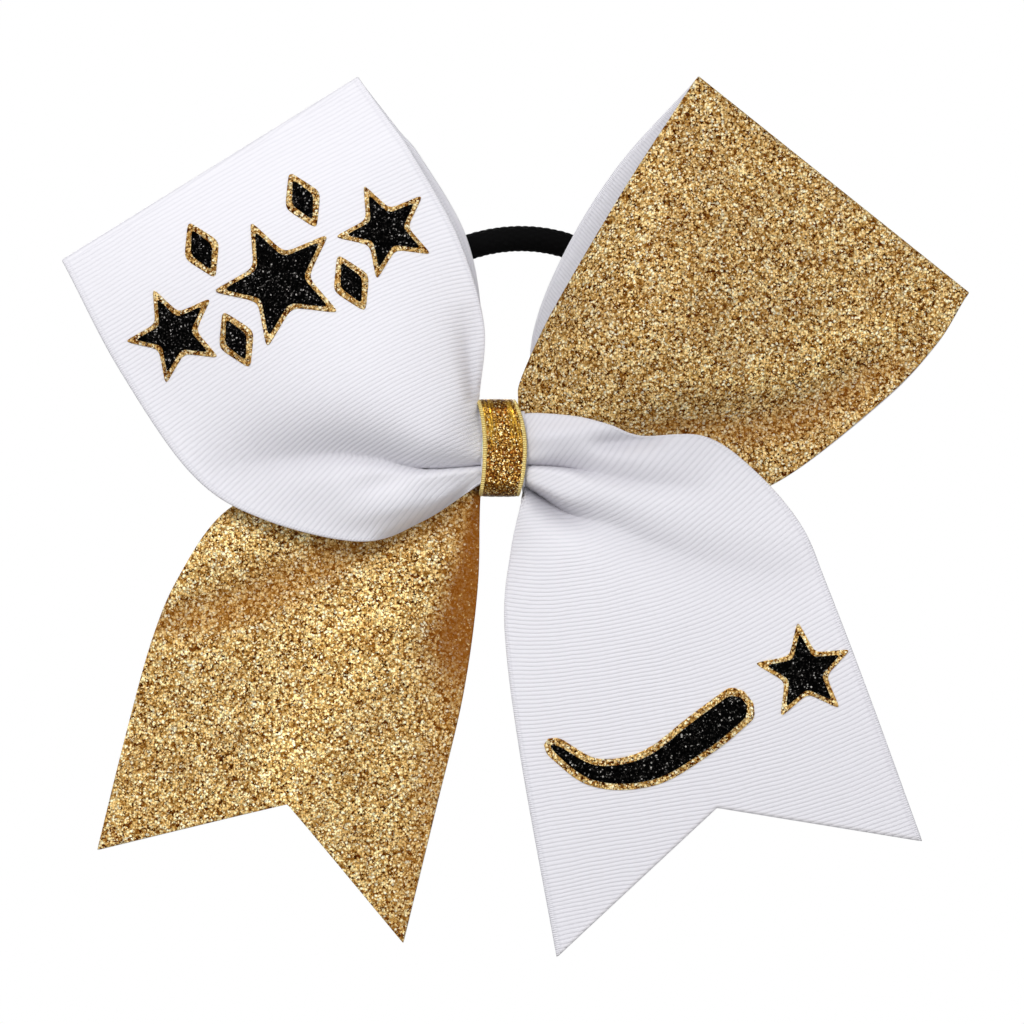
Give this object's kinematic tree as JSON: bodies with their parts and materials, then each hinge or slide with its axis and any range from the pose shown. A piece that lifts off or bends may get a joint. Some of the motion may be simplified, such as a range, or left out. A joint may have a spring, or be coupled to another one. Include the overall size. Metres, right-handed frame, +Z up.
{
  "type": "cheer hair bow",
  "caption": "Large cheerleading hair bow with two wide ribbon loops, two notched tails, a glitter centre band and a black hair elastic behind.",
  "frame": {"origin": "centre of the centre band's flat back face, where the bow sits against the base of a ponytail", "axes": "+Z up as worn, -Y out of the front of the bow towards the viewer, +X to the viewer's right"},
  "size_m": [0.1863, 0.0419, 0.1806],
  "materials": {
    "white_grosgrain": "fine crosswise ribs, matt with a soft sheen",
    "gold_glitter": "gold glitter vinyl, sparkling flakes",
    "band_glitter": "dark gold glitter ribbon with pale woven edges",
    "black_glitter": "black glitter vinyl",
    "black_elastic": "braided matt black",
    "nylon": "natural nylon",
    "hot_glue": "set hot glue"
  },
  "bodies": {
    "knot": {"knot_gathers": "white_grosgrain", "cinch_tie": "nylon", "centre_band": "band_glitter", "glue_bead_left": "hot_glue", "glue_bead_right": "hot_glue"},
    "loop_left": {"loop_left_ribbon": "white_grosgrain", "star_left_outline": "gold_glitter", "star_left_top": "black_glitter", "star_middle_outline": "gold_glitter", "star_middle_top": "black_glitter", "star_right_outline": "gold_glitter", "star_right_top": "black_glitter", "diamond_upper_left_outline": "gold_glitter", "diamond_upper_left_top": "black_glitter", "diamond_upper_right_outline": "gold_glitter", "diamond_upper_right_top": "black_glitter", "diamond_lower_left_outline": "gold_glitter", "diamond_lower_left_top": "black_glitter", "diamond_lower_right_outline": "gold_glitter", "diamond_lower_right_top": "black_glitter"},
    "loop_right": {"loop_right_ribbon": "white_grosgrain", "loop_right_glitter": "gold_glitter"},
    "tail_left": {"tail_left_ribbon": "white_grosgrain", "tail_left_glitter": "gold_glitter"},
    "tail_right": {"tail_right_ribbon": "white_grosgrain", "comet_trail_outline": "gold_glitter", "comet_trail_top": "black_glitter", "comet_star_outline": "gold_glitter", "comet_star_top": "black_glitter"},
    "elastic": {"hair_elastic": "black_elastic"}
  },
  "joints": [
    {"name": "loop_left_flex", "type": "hinge", "parent": "knot", "child": "loop_left", "pos_m": [-0.0055, -0.0123, 0], "axis": [0, 0, -1], "range_deg": [-4.5, 3], "stiffness_Nm_per_rad": 0.02},
    {"name": "loop_right_flex", "type": "hinge", "parent": "knot", "child": "loop_right", "pos_m": [0.0055, -0.0123, 0], "axis": [0, 0, 1], "range_deg": [-1.5, 7], "stiffness_Nm_per_rad": 0.02},
    {"name": "tail_left_flex", "type": "hinge", "parent": "knot", "child": "tail_left", "pos_m": [-0.0055, -0.0123, 0], "axis": [0.892, 0, -0.452], "range_deg": [-3, 6], "stiffness_Nm_per_rad": 0.02},
    {"name": "tail_right_flex", "type": "hinge", "parent": "knot", "child": "tail_right", "pos_m": [0.0055, -0.0156, 0.0072], "axis": [0.892, 0, 0.452], "range_deg": [-20, 1.5], "stiffness_Nm_per_rad": 0.02},
    {"name": "elastic_swing", "type": "hinge", "parent": "knot", "child": "elastic", "pos_m": [0, -0.00375, 0], "axis": [-1, 0, 0], "range_deg": [0, 150]}
  ]
}
